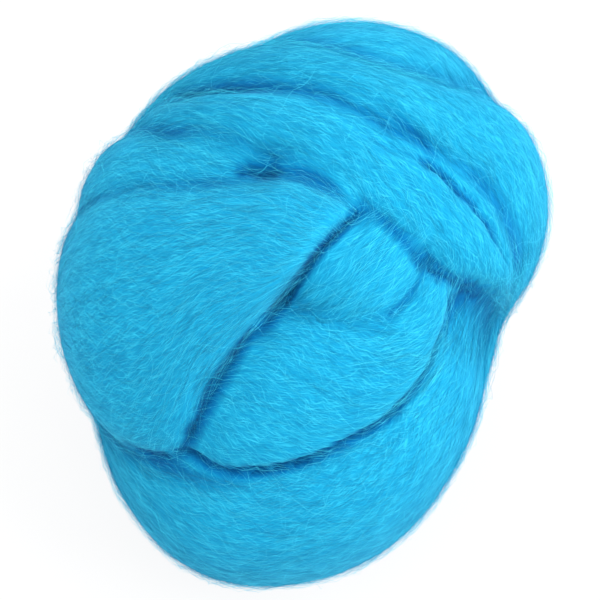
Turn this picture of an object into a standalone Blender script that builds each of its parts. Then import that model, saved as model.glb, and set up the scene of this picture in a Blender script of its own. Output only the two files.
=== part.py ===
"""A ball of wool roving: one soft flat band of combed wool, wound on itself in wide turns.

The ball is one closed solid. Its core is an egg that leans to one side. Each stretch of the band is a
closed, dome-shaped sweep bent round that egg, and a Boolean union joins them all. A flat spot is cut
where the ball rests.

Directions on the ball are named like places on a dial laid on the wound face:
  clock  degrees anticlockwise about the face's own axis, from the ball's right side;
  tip    degrees away from the middle of the face, so 90 is the ball's outline and 180 its back.
Heights are in millimetres above the ball's envelope, an egg of about its outer size: the outermost turns
stand a little above it and the inner ones lie below.
A turn's rows give its two edges, its crown's height midway, and how much edge a stands above edge b.
"""

import math
from collections import namedtuple

import bmesh
import bpy
import numpy as np
from mathutils import Matrix

MM = 0.001

# The envelope of the ball, and how it lies.
BALL_WIDTH = 124.0  # across the lean
BALL_LENGTH = 154.0  # along the lean
BALL_DEPTH = 112.0  # from the wound face to the back
LEAN = 21.0  # degrees from upright, towards the ball's right side
FACE_TILT = 60.0  # degrees that the wound face looks up from level
REST_DEPTH = 52.5  # from the ball's centre down to the flat spot
CENTRE_X = -1.1  # places the ball's centre so that its box is centred on the origin
CENTRE_Y = 2.9

# The band.
CORE_HEIGHT = -12.0  # the egg under the turns
DOME_FULLNESS = 2.8  # how flat the crown is, as a superellipse's exponent
SOLE_BELOW = 7.0  # from a turn's edges down to its hidden underside
ACROSS_STEPS = 16
ALONG_STEP = 5.0
CORE_SEGMENTS = 32

COLLECTION = "wool_roving"
NODE = "roving_ball"
WOOL_COLOUR = (0.022, 0.400, 0.745, 1.0)
WOOL_ROUGHNESS = 0.85

Row = namedtuple("Row", "clock_a tip_a clock_b tip_b crown slope", defaults=[0.0])
Turn = namedtuple("Turn", "name closed depth start_roll end_roll rows")

RIM_TURN = Turn("rim_turn", True, 15.0, 0.0, 0.0, [
    Row(0, 100, 0, 44, -12, -8),
    Row(345, 102, 346, 37, -9.5, -6),
    Row(330, 103, 331, 36, -5, -4),
    Row(311, 104, 312, 36, -1.3, -3),
    Row(290, 104, 290, 39, 1.8),
    Row(270, 104, 270, 43, 2),
    Row(250, 104, 250, 50, 1),
    Row(232, 104, 233, 55, -3),
    Row(214, 103, 216, 62, -7),
    Row(196, 102, 196, 70, -10),
    Row(170, 106, 170, 74, -10),
    Row(145, 110, 145, 76, -9),
    Row(120, 114, 118, 74, -8),
    Row(98, 116, 96, 66, -5),
    Row(75, 117, 76, 60, -2),
    Row(52, 115, 52, 58, 0),
    Row(34, 110, 34, 56, -6),
    Row(16, 104, 16, 54, -11),
])

MAIN_TURN = Turn("main_turn", True, 15.0, 0.0, 0.0, [
    Row(138, 106, 128, 80, -1),
    Row(118, 100, 114, 68, -2),
    Row(104, 88, 104, 59, -3),
    Row(93, 77, 93, 53, -2),
    Row(82, 70, 84, 51, -1.5),
    Row(69, 67, 71, 47, -1),
    Row(55, 71, 57, 47, 0.5),
    Row(44, 84, 44, 49, 2.5),
    Row(33, 100, 33, 54, 4),
    Row(19, 107, 20, 60, 3),
    Row(4, 113, 7, 68, -1.2),
    Row(348, 119, 356, 75, -7),
    Row(330, 126, 342, 82, -5.5),
    Row(308, 134, 320, 88, -3),
    Row(282, 139, 292, 90, -3),
    Row(254, 140, 262, 91, -3),
    Row(228, 138, 234, 92, -3),
    Row(204, 132, 210, 92, -5),
    Row(182, 124, 188, 92, -9),
    Row(160, 116, 165, 90, -8),
])

LOWER_TURN = Turn("lower_turn", False, 13.0, 10.0, 14.0, [
    Row(150, 132, 162, 124, -9),
    Row(140, 120, 153, 111, -5),
    Row(133, 105, 146, 96, -2),
    Row(127, 88, 138, 80, -1.5),
    Row(119, 74, 130, 65, -2),
    Row(110, 65, 118, 51, -2),
    Row(99, 59, 107, 40, -2),
    Row(86, 55, 89, 33, -1.5),
    Row(73, 52, 67, 28, -1),
    Row(60, 51, 47, 26, -1),
    Row(48, 54, 28, 31, -1),
    Row(37, 58, 15, 37, -1),
    Row(26, 63, 8, 44, -1),
    Row(15, 68, 4, 52, -1.5),
    Row(6, 75, 1, 61, -3.5),
    Row(359, 88, 356, 75, -7.5),
    Row(352, 102, 349, 90, -9),
])

FRONT_TURN = Turn("front_turn", False, 15.0, 8.0, 14.0, [
    Row(52, 30, 130, 4, 0.5),
    Row(69, 31, 208, 8, 1),
    Row(87, 34, 224, 23, 1.5),
    Row(106, 36, 230, 38, 1.5),
    Row(127, 46, 236, 54, 1.5),
    Row(141, 62, 227, 68, 1.5, 3.5),
    Row(150, 78, 215, 80, 0.5, 8),
    Row(155, 92, 208, 94, 0, 9.5),
    Row(149, 104, 204, 112, 0, 4),
    Row(135, 109, 198, 130, 0),
    Row(113, 110, 188, 150, 0),
    Row(90, 109, 90, 179, 0),
    Row(65, 107, 352, 150, -0.5),
    Row(46, 104, 344, 128, -2),
    Row(32, 98, 345, 108, -8),
])

UNDER_TURN = Turn("under_turn", False, 12.0, 8.0, 8.0, [
    Row(149, 122, 174, 116, -8),
    Row(143, 110, 170, 104, -2),
    Row(137, 96, 166, 90, 2),
    Row(132, 77, 160, 72, 1),
    Row(124, 63, 152, 50, -3),
    Row(110, 56, 138, 36, -4.5),
    Row(100, 48, 118, 26, -6),
    Row(86, 38, 90, 20, -9),
])

BACK_TURN = Turn("back_turn", False, 14.0, 8.0, 8.0, [
    Row(124, 94, 182, 94, -10),
    Row(121, 117, 190, 115, -5),
    Row(106, 141, 212, 130, -3),
    Row(60, 154, 248, 137, -2.5),
    Row(14, 141, 280, 134, -2.5),
    Row(359, 117, 301, 117, -4),
    Row(356, 94, 306, 98, -10),
])

INNER_TURN = Turn("inner_turn", False, 10.0, 10.0, 10.0, [
    Row(198, 26, 216, 72, -9),
    Row(192, 14, 230, 66, -6),
    Row(20, 4, 246, 62, -4.5),
    Row(10, 12, 263, 59, -4),
    Row(3, 22, 281, 56, -4),
    Row(358, 33, 301, 53, -4.5),
    Row(354, 42, 320, 50, -6),
    Row(350, 50, 336, 52, -9),
])

INNER_FOLD = Turn("inner_fold", False, 9.0, 16.0, 10.0, [
    Row(184, 8, 324, 21, -5),
    Row(126, 7, 337, 25, -4),
    Row(88, 12, 349, 28, -3),
    Row(74, 19, 356, 32, -3),
    Row(63, 27, 4, 36, -3.5),
    Row(55, 35, 13, 41, -5),
    Row(49, 43, 19, 48, -9),
])

INNER_SIDE = Turn("inner_side", False, 9.0, 22.0, 8.0, [
    Row(296, 22, 298, 42, -6),
    Row(326, 20, 320, 45, -4.5),
    Row(352, 24, 340, 46, -4),
    Row(5, 31, 353, 48, -5),
    Row(14, 36, 3, 50, -6),
    Row(20, 40, 9, 53, -9),
])

TURNS = [
    RIM_TURN,
    MAIN_TURN,
    LOWER_TURN,
    FRONT_TURN,
    UNDER_TURN,
    BACK_TURN,
    INNER_TURN,
    INNER_FOLD,
    INNER_SIDE,
]


def clear_scene():
    """Removes whatever objects the scene starts with."""
    for obj in list(bpy.data.objects):
        bpy.data.objects.remove(obj, do_unlink=True)


def new_collection(name, hidden):
    """A collection in the scene, hidden in renders if it holds cutters."""
    collection = bpy.data.collections.new(name)
    collection.hide_render = hidden
    bpy.context.scene.collection.children.link(collection)
    return collection


def wool_material():
    """The plain finish of the wool."""
    material = bpy.data.materials.new("wool")
    material.use_nodes = True
    shader = material.node_tree.nodes["Principled BSDF"]
    shader.inputs["Base Color"].default_value = WOOL_COLOUR
    shader.inputs["Roughness"].default_value = WOOL_ROUGHNESS
    shader.inputs["Metallic"].default_value = 0.0
    return material


def direction(clock, tip):
    """The unit vector for a place on the dial, with Z out of the wound face."""
    clock, tip = math.radians(clock), math.radians(tip)
    return np.array([math.sin(tip) * math.cos(clock), math.sin(tip) * math.sin(clock), math.cos(tip)])


def envelope_radius(towards):
    """The distance from the centre to the envelope egg, for an array of unit vectors."""
    lean = math.radians(LEAN)
    across = towards[..., 0] * math.cos(lean) - towards[..., 1] * math.sin(lean)
    along = towards[..., 0] * math.sin(lean) + towards[..., 1] * math.cos(lean)
    scaled = np.stack([2 * across / BALL_WIDTH, 2 * along / BALL_LENGTH, 2 * towards[..., 2] / BALL_DEPTH])
    return 1.0 / np.linalg.norm(scaled, axis=0)


def on_ball(towards, height):
    """The points, in millimetres, that lie the given height above the envelope."""
    return towards * (envelope_radius(towards) + height)[..., None]


def unit(vectors):
    return vectors / np.linalg.norm(vectors, axis=-1, keepdims=True)


def smooth_path(knots, closed, samples):
    """A Catmull-Rom curve through the knots, one per row, at `samples` even steps of the knots' number."""
    count = len(knots)
    spans = count if closed else count - 1
    places = np.arange(samples) * spans / (samples if closed else samples - 1)
    first = np.minimum(places.astype(int), spans - 1)
    t = (places - first)[:, None]

    def knot(offset):
        index = first + offset
        if closed:
            return knots[index % count]
        inside = knots[np.clip(index, 0, count - 1)]
        before = (index < 0)[:, None] * (knots[0] - knots[1])
        after = (index > count - 1)[:, None] * (knots[-1] - knots[-2])
        return inside + before + after

    p0, p1, p2, p3 = (knot(offset) for offset in (-1, 0, 1, 2))
    return 0.5 * (2 * p1 + (p2 - p0) * t + (2 * p0 - 5 * p1 + 4 * p2 - p3) * t**2
                  + (3 * p1 - p0 - 3 * p2 + p3) * t**3)


def between(a, b, share):
    """Unit vectors the given share of the way round from `a` to `b`, in their common plane."""
    angle = np.arccos(np.clip((a * b).sum(-1, keepdims=True), -1, 1))
    return (np.sin((1 - share) * angle) * a + np.sin(share * angle) * b) / np.sin(angle)


def dome(offset):
    """How far a turn's surface lies below its crown, as a share of its depth, `offset` from -1 to 1."""
    return 1 - np.sqrt(1 - np.abs(offset) ** DOME_FULLNESS)


def turn_rings(turn):
    """The closed sections of a turn: an array of sections, each a ring of points in millimetres."""
    edge_a = np.array([direction(row.clock_a, row.tip_a) for row in turn.rows])
    edge_b = np.array([direction(row.clock_b, row.tip_b) for row in turn.rows])
    heights = np.array([[row.crown, row.slope] for row in turn.rows])
    middle = on_ball(unit(edge_a + edge_b), np.zeros(len(turn.rows)))
    hops = np.diff(middle, axis=0, append=middle[:1])
    spans = np.linalg.norm(hops, axis=1)
    length = spans.sum() if turn.closed else spans[:-1].sum()
    samples = max(8, round(length / ALONG_STEP))
    edge_a = unit(smooth_path(edge_a, turn.closed, samples))
    edge_b = unit(smooth_path(edge_b, turn.closed, samples))
    crown, slope = smooth_path(heights, turn.closed, samples).T
    if not turn.closed:
        along = np.linspace(0, length, samples)
        rolls = end_drop(along, turn.start_roll) + end_drop(length - along, turn.end_roll)
        crown = crown - turn.depth * rolls
    offsets = -np.cos(np.linspace(0, math.pi, ACROSS_STEPS + 1))
    towards = between(edge_a[:, None], edge_b[:, None], (offsets[None, :, None] + 1) / 2)
    level = crown[:, None] - slope[:, None] * offsets[None, :] / 2
    upper = on_ball(towards, level - turn.depth * dome(offsets)[None, :])
    lower = on_ball(towards[:, [-1, 0]], crown[:, None] - turn.depth - SOLE_BELOW)
    return np.concatenate([upper, lower], axis=1)


def end_drop(distance, roll):
    """How far a tucked end drops, as a share of its depth, rounding over within `roll` of its tip."""
    return dome(np.clip(1 - distance / roll, 0, 1))


def turn_object(turn, to_world, collection):
    """One turn as a closed mesh, joined section to section."""
    rings = turn_rings(turn)
    mesh = bmesh.new()
    loops = [[mesh.verts.new((to_world @ Matrix.Translation(point * MM)).to_translation()) for point in ring]
             for ring in rings]
    pairs = list(zip(loops, loops[1:]))
    if turn.closed:
        pairs.append((loops[-1], loops[0]))
    else:
        mesh.faces.new(loops[0])
        mesh.faces.new(loops[-1])
    for here, there in pairs:
        for i in range(len(here)):
            j = (i + 1) % len(here)
            mesh.faces.new((here[i], here[j], there[j], there[i]))
    bmesh.ops.recalc_face_normals(mesh, faces=mesh.faces)
    return mesh_object(turn.name, mesh, collection)


def mesh_object(name, mesh, collection):
    """Turns a bmesh into a named object."""
    data = bpy.data.meshes.new(name)
    mesh.to_mesh(data)
    mesh.free()
    obj = bpy.data.objects.new(name, data)
    collection.objects.link(obj)
    return obj


def core_object(to_world, collection):
    """The egg under the turns, a scaled sphere."""
    mesh = bmesh.new()
    bmesh.ops.create_uvsphere(mesh, u_segments=CORE_SEGMENTS, v_segments=CORE_SEGMENTS // 2, radius=1.0)
    radii = [(size / 2 + CORE_HEIGHT) * MM for size in (BALL_WIDTH, BALL_LENGTH, BALL_DEPTH)]
    lean = Matrix.Rotation(math.radians(-LEAN), 4, "Z")
    bmesh.ops.transform(mesh, matrix=to_world @ lean @ Matrix.Diagonal((*radii, 1.0)), verts=mesh.verts)
    return mesh_object(NODE, mesh, collection)


def floor_object(collection):
    """A block under the ball, whose top is the level of the flat spot."""
    mesh = bmesh.new()
    bmesh.ops.create_cube(mesh, size=2 * BALL_LENGTH * MM)
    bmesh.ops.translate(mesh, verts=mesh.verts, vec=(0, 0, -BALL_LENGTH * MM))
    return mesh_object("floor_block", mesh, collection)


def combine(target, cutter, operation):
    """Adds a Boolean modifier, and marks its other object as a helper."""
    modifier = target.modifiers.new(cutter.name, "BOOLEAN")
    modifier.operation = operation
    modifier.solver = "MANIFOLD"
    modifier.object = cutter
    cutter.hide_render = True
    cutter.display_type = "WIRE"


def main():
    clear_scene()
    parts = new_collection(COLLECTION, hidden=False)
    cutters = new_collection("cutters", hidden=True)
    turned = Matrix.Rotation(math.radians(90 - FACE_TILT), 4, "X")
    to_world = Matrix.Translation((CENTRE_X * MM, CENTRE_Y * MM, REST_DEPTH * MM)) @ turned
    ball = core_object(to_world, parts)
    ball.data.materials.append(wool_material())
    for turn in TURNS:
        combine(ball, turn_object(turn, to_world, cutters), "UNION")
    combine(ball, floor_object(cutters), "DIFFERENCE")


main()
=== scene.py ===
"""Dresses a ball of wool roving: its wound turns, the fibres combed along them, and the hairs over them.

Directions on the ball are named like places on a dial laid on the wound face: clock is degrees anticlockwise
about the face's own axis, from the ball's right side, and tip is degrees away from the middle of the face.
Sizes and heights are in millimetres, in the ball's own frame, until a mesh is made.
"""

import logging
import math
from dataclasses import dataclass
from enum import Enum
from typing import Any, Callable, Iterable, NamedTuple, Sequence, Union

import bmesh
import bpy
import numpy as np
from mathutils import Matrix, Vector, noise
from mathutils.bvhtree import BVHTree


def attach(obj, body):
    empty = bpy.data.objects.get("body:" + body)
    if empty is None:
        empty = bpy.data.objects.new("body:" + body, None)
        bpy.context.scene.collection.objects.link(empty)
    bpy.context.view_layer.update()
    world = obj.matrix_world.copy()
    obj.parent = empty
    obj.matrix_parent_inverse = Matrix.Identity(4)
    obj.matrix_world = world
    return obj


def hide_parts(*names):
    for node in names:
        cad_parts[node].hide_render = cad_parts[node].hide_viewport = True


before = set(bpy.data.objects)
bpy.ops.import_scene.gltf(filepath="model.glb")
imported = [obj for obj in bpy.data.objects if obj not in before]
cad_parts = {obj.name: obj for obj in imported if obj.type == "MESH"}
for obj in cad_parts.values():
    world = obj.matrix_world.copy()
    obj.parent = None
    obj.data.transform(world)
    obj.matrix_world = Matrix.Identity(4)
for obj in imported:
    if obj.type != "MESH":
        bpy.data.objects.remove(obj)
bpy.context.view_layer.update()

MM = 0.001
OUTSIDE = 200.0  # from the ball's centre to well past its outside
BODY = "root"
NODE = "roving_ball"
STRAND = "strand"
OPEN = "open"
# How far down in a valley each point lies; it darkens the wool's colour there as painted shade.
VALLEY_SHADE_MASK = "valley"
SHADE = "shade"
BAKE_MAP = "OFBake"
BAND_SEED = 11.0
BAND_SEED_STEP = 3.0
FUZZ_SEED = 20
COAT_SEED = 40

log = logging.getLogger("wool_roving")


class Ends(Enum):
    """How a turn of the band ends."""

    JOINED = "joined"
    TUCKED = "tucked"


# ---------------------------------------------------------------- the ball's form


@dataclass(frozen=True)
class Egg:
    """The egg that the wound ball fills, and how it lies."""

    width: float = 124.0
    length: float = 154.0
    depth: float = 112.0
    lean: float = 21.0
    face_tilt: float = 60.0
    rest_depth: float = 52.5
    centre_x: float = -1.1
    centre_y: float = 2.9

    def radius(self, towards: np.ndarray) -> np.ndarray:
        """The distance from the centre to the egg along each direction.

        Args:
            towards: Unit vectors, in the last axis.

        Returns:
            One distance for each vector.
        """
        lean = math.radians(self.lean)
        across = towards[..., 0] * math.cos(lean) - towards[..., 1] * math.sin(lean)
        along = towards[..., 0] * math.sin(lean) + towards[..., 1] * math.cos(lean)
        sizes = (self.width, self.length, self.depth)
        scaled = [2 * part / size for part, size in zip((across, along, towards[..., 2]), sizes)]
        return 1.0 / np.linalg.norm(scaled, axis=0)

    def points(self, towards: np.ndarray, height: Union[np.ndarray, float]) -> np.ndarray:
        """The points that stand the given height over the egg."""
        return towards * (self.radius(towards) + height)[..., None]

    def placing(self) -> Matrix:
        """The matrix that takes the ball's own frame, in millimetres, to the scene, in metres."""
        place = Matrix.Translation((self.centre_x * MM, self.centre_y * MM, self.rest_depth * MM))
        return place @ Matrix.Rotation(math.radians(90 - self.face_tilt), 4, "X") @ Matrix.Scale(MM, 4)

    def placed(self, points: np.ndarray) -> np.ndarray:
        """The points in the scene, none of them under the level that the ball rests on.

        Args:
            points: Places in the ball's own frame, in the last axis.

        Returns:
            The same places in the scene's frame.
        """
        matrix = np.array(self.placing())
        moved = points @ matrix[:3, :3].T + matrix[:3, 3]
        moved[..., 2] = np.maximum(moved[..., 2], 0.0)
        return moved


def direction(clock: float, tip: float) -> np.ndarray:
    """The unit vector for a place on the dial."""
    clock, tip = math.radians(clock), math.radians(tip)
    return np.array([math.sin(tip) * math.cos(clock), math.sin(tip) * math.sin(clock), math.cos(tip)])


def unit(vectors: np.ndarray) -> np.ndarray:
    """The vectors, each scaled to length 1."""
    return vectors / np.linalg.norm(vectors, axis=-1, keepdims=True)


def between(a: np.ndarray, b: np.ndarray, share: np.ndarray) -> np.ndarray:
    """Unit vectors the given share of the way round from a to b."""
    angle = np.arccos(np.clip((a * b).sum(-1, keepdims=True), -1, 1))
    return (np.sin((1 - share) * angle) * a + np.sin(share * angle) * b) / np.sin(angle)


def smooth_path(knots: np.ndarray, closed: bool, samples: int) -> np.ndarray:
    """A Catmull-Rom curve through knots.

    Args:
        knots: One knot per row.
        closed: Whether the curve comes back to its first knot.
        samples: How many points to return, at even steps of the knots' number.

    Returns:
        The points, one per row.
    """
    count = len(knots)
    spans = count if closed else count - 1
    places = np.arange(samples) * spans / (samples if closed else samples - 1)
    first = np.minimum(places.astype(int), spans - 1)
    t = (places - first)[:, None]

    def knot(offset: int) -> np.ndarray:
        """The knots beside each span, run on straight past an open curve's ends.

        Args:
            offset: How many places on from the span's first knot.

        Returns:
            One knot for each sample.
        """
        index = first + offset
        if closed:
            return knots[index % count]
        inside = knots[np.clip(index, 0, count - 1)]
        before = (index < 0)[:, None] * (knots[0] - knots[1])
        after = (index > count - 1)[:, None] * (knots[-1] - knots[-2])
        return inside + before + after

    p0, p1, p2, p3 = (knot(offset) for offset in (-1, 0, 1, 2))
    return 0.5 * (
        2 * p1 + (p2 - p0) * t + (2 * p0 - 5 * p1 + 4 * p2 - p3) * t**2 + (3 * p1 - p0 - 3 * p2 + p3) * t**3
    )


def grain(places: np.ndarray, sizes: Sequence[float], seed: float) -> np.ndarray:
    """Smooth noise, stretched along the strands.

    Args:
        places: Strand coordinates in the last axis: along, then across.
        sizes: The noise's length along and across the strands.
        seed: Which slice of the noise to take.

    Returns:
        A number from about -1 to 1 for each place.
    """
    flat = places.reshape(-1, 2) / np.array(sizes)
    found = [noise.noise(Vector((u, v, seed))) for u, v in flat]
    return np.array(found).reshape(places.shape[:-1])


@dataclass(frozen=True)
class Stroke:
    """A place where the comb has turned the fibres away from the band's own run."""

    clock: float
    tip: float
    turned: float
    reach: float

    def comb(self, strand: np.ndarray, towards: np.ndarray) -> np.ndarray:
        """Turns the strand coordinates about the stroke's middle, less and less away from it.

        Args:
            strand: Strand coordinates of a turn's points.
            towards: The directions of the same points.

        Returns:
            The combed coordinates.
        """
        nearest = np.unravel_index(np.argmax(towards @ direction(self.clock, self.tip)), strand.shape[:-1])
        from_middle = strand - strand[nearest]
        fading = np.exp(-(from_middle**2).sum(-1) / (2 * self.reach**2))
        angle = math.radians(self.turned) * fading
        along = np.cos(angle) * from_middle[..., 0] + np.sin(angle) * from_middle[..., 1]
        across = np.cos(angle) * from_middle[..., 1] - np.sin(angle) * from_middle[..., 0]
        return strand[nearest] + np.stack([along, across], axis=-1)


@dataclass(frozen=True)
class DialPath:
    """A smooth path through places on the dial.

    What it draws may fade out over its fading share at either end.
    """

    path: tuple

    samples_per_knot = 6
    fading_share = 0.25

    def distances(self, towards: np.ndarray, egg: Egg) -> tuple[np.ndarray, np.ndarray]:
        """How far each direction lies from the path.

        Args:
            towards: Unit vectors, one per row.
            egg: The ball's egg, which turns angles into distances.

        Returns:
            The distances, and for each a share of the effect, which falls from 1 to 0 at the path's ends.
        """
        knots = np.array([direction(*place) for place in self.path])
        line = egg.points(unit(smooth_path(knots, False, self.samples_per_knot * len(knots))), 0.0)
        points = egg.points(towards, 0.0)
        nearest = np.full(len(points), np.inf)
        place = np.zeros(len(points))
        for i, (start, end) in enumerate(zip(line, line[1:])):
            run = end - start
            share = np.clip((points - start) @ run / (run @ run), 0, 1)
            distance = np.linalg.norm(points - start - share[:, None] * run, axis=1)
            closer = distance < nearest
            nearest[closer] = distance[closer]
            place[closer] = ((i + share) / (len(line) - 1))[closer]
        from_end = np.minimum(place, 1 - place)
        return nearest, np.sqrt(np.clip(from_end / self.fading_share, 0, 1))


@dataclass(frozen=True)
class Parting(DialPath):
    """A narrow valley drawn in the wool, or a low ridge where its depth is less than 0."""

    depth: float
    width: float

    def drop(self, towards: np.ndarray, egg: Egg) -> np.ndarray:
        """How far the surface sinks at each direction."""
        nearest, ends = self.distances(towards, egg)
        return self.depth * ends * np.exp(-(nearest**2) / (2 * self.width**2))


@dataclass(frozen=True)
class Felting(DialPath):
    """A run where two turns have felted together, so that the valley between them is nearly filled."""

    share: float
    width: float

    def fill(self, towards: np.ndarray, egg: Egg) -> np.ndarray:
        """The share of the valley that is filled at each direction."""
        nearest, _ = self.distances(towards, egg)
        return self.share * np.exp(-(nearest**2) / (2 * self.width**2))


class Row(NamedTuple):
    """One row across a strip: its edges a and b, its crown's height, and how much a stands above b."""

    clock_a: float
    tip_a: float
    clock_b: float
    tip_b: float
    crown: float
    slope: float = 0.0


@dataclass(frozen=True)
class Turn:
    """One stretch of the band, a dome-shaped strip bent round the egg.

    The depth is how far its edges lie below its crown, a roll is the length over which a tucked end rounds
    over, and the softness is the share of the valleys beside it that its wool fills.
    """

    name: str
    ends: Ends
    depth: float
    start_roll: float
    end_roll: float
    softness: float
    rows: Sequence[Row]
    strokes: Sequence[Stroke] = ()
    fullness: float = 2.8
    sole_below: float = 7.0
    across_step: float = 0.8
    along_step: float = 2.8

    def dome(self, offset: np.ndarray) -> np.ndarray:
        """How far the strip lies below its crown, as a share of its depth, for offsets from -1 to 1."""
        return 1 - np.sqrt(1 - np.abs(offset) ** self.fullness)

    def end_drop(self, distance: np.ndarray, roll: float) -> np.ndarray:
        """How far a tucked end drops, as a share of the depth, rounding over within the roll."""
        return self.dome(np.clip(1 - distance / roll, 0, 1))

    def lay(self, egg: Egg) -> "LaidTurn":
        """Lays the strip on the egg as a grid of points.

        Args:
            egg: The ball's egg.

        Returns:
            The grid, before it is pressed together with its neighbours.
        """
        closed = self.ends is Ends.JOINED
        edge_a = np.array([direction(row.clock_a, row.tip_a) for row in self.rows])
        edge_b = np.array([direction(row.clock_b, row.tip_b) for row in self.rows])
        middle = egg.points(unit(edge_a + edge_b), 0.0)
        spans = np.linalg.norm(np.diff(middle, axis=0, append=middle[:1]), axis=1)
        length = spans.sum() if closed else spans[:-1].sum()
        width = np.linalg.norm(egg.points(edge_a, 0.0) - egg.points(edge_b, 0.0), axis=1).mean()
        samples = round(length / self.along_step)
        steps = round(width / self.across_step)
        edge_a = unit(smooth_path(edge_a, closed, samples))
        edge_b = unit(smooth_path(edge_b, closed, samples))
        levels = np.array([(row.crown, row.slope) for row in self.rows], float)
        crown, slope = smooth_path(levels, closed, samples).T
        if not closed:
            along = np.linspace(0, length, samples)
            rolls = self.end_drop(along, self.start_roll) + self.end_drop(length - along, self.end_roll)
            crown = crown - self.depth * rolls
        offsets = -np.cos(np.linspace(0, math.pi, steps + 1))
        towards = between(edge_a[:, None], edge_b[:, None], (offsets[None, :, None] + 1) / 2)
        level = crown[:, None] - slope[:, None] * offsets[None, :] / 2
        height = level - self.depth * self.dome(offsets)[None, :]
        centres = egg.points(unit(edge_a + edge_b), crown)
        hops = np.linalg.norm(np.diff(centres, axis=0, append=centres[:1]), axis=1)
        run = np.concatenate([[0], np.cumsum(hops)])
        strand = np.stack(
            np.broadcast_arrays(run[:samples, None], offsets[None, :] * width / 2), axis=-1
        ).astype(float)
        for stroke in self.strokes:
            strand = stroke.comb(strand, towards)
        reach = run[-1] if closed else run[-2]
        soles = egg.points(towards[:, [-1, 0]], crown[:, None] - self.depth - self.sole_below)
        return LaidTurn(self, towards, height, strand, soles, reach, width)


@dataclass
class LaidTurn:
    """A turn as a grid of directions, heights and strand coordinates."""

    turn: Turn
    towards: np.ndarray
    height: np.ndarray
    strand: np.ndarray
    soles: np.ndarray
    length: float
    width: float

    @property
    def closed(self) -> bool:
        """Whether the turn joins up with itself."""
        return self.turn.ends is Ends.JOINED

    def tree(self, egg: Egg) -> tuple:
        """The grid's points and faces, for a search tree."""
        points = egg.points(self.towards, self.height)
        return points.reshape(-1, 3), grid_faces(*self.height.shape, self.closed)


def grid_faces(rows: int, columns: int, closed: bool) -> np.ndarray:
    """The quads of a grid of points, counted row by row.

    Args:
        rows: How many rows of points there are.
        columns: How many points a row has.
        closed: Whether the last row joins the first.

    Returns:
        Four point numbers for each face.
    """
    row = np.arange(rows if closed else rows - 1)[:, None]
    column = np.arange(columns - 1)[None, :]
    here, there = row * columns + column, (row + 1) % rows * columns + column
    return np.stack([here, here + 1, there + 1, there], axis=-1).reshape(-1, 4)


def search_tree(parts: Iterable[tuple]) -> BVHTree:
    """One search tree over several surfaces.

    Args:
        parts: The points and faces of each surface.

    Returns:
        The tree, whose faces are numbered in the surfaces' order.
    """
    points, faces, count = [], [], 0
    for part_points, part_faces in parts:
        points.append(part_points)
        faces.append(part_faces + count)
        count += len(part_points)
    return BVHTree.FromPolygons(np.concatenate(points).tolist(), np.concatenate(faces).tolist())


def outermost(tree: BVHTree, towards: np.ndarray) -> tuple[np.ndarray, np.ndarray]:
    """How far from the centre the tree's outer surface lies.

    Args:
        tree: The surface to look for.
        towards: Unit vectors, one per row.

    Returns:
        The distance along each vector, 0 where no surface is, and the number of the face that is there.
    """
    radius = np.zeros(len(towards))
    face = np.full(len(towards), -1)
    for i, vector in enumerate(towards):
        towards_centre = Vector(-vector)
        place, _, number, distance = tree.ray_cast(towards_centre * -OUTSIDE, towards_centre, OUTSIDE)
        if place is not None:
            radius[i] = OUTSIDE - distance
            face[i] = number
    return radius, face


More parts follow.
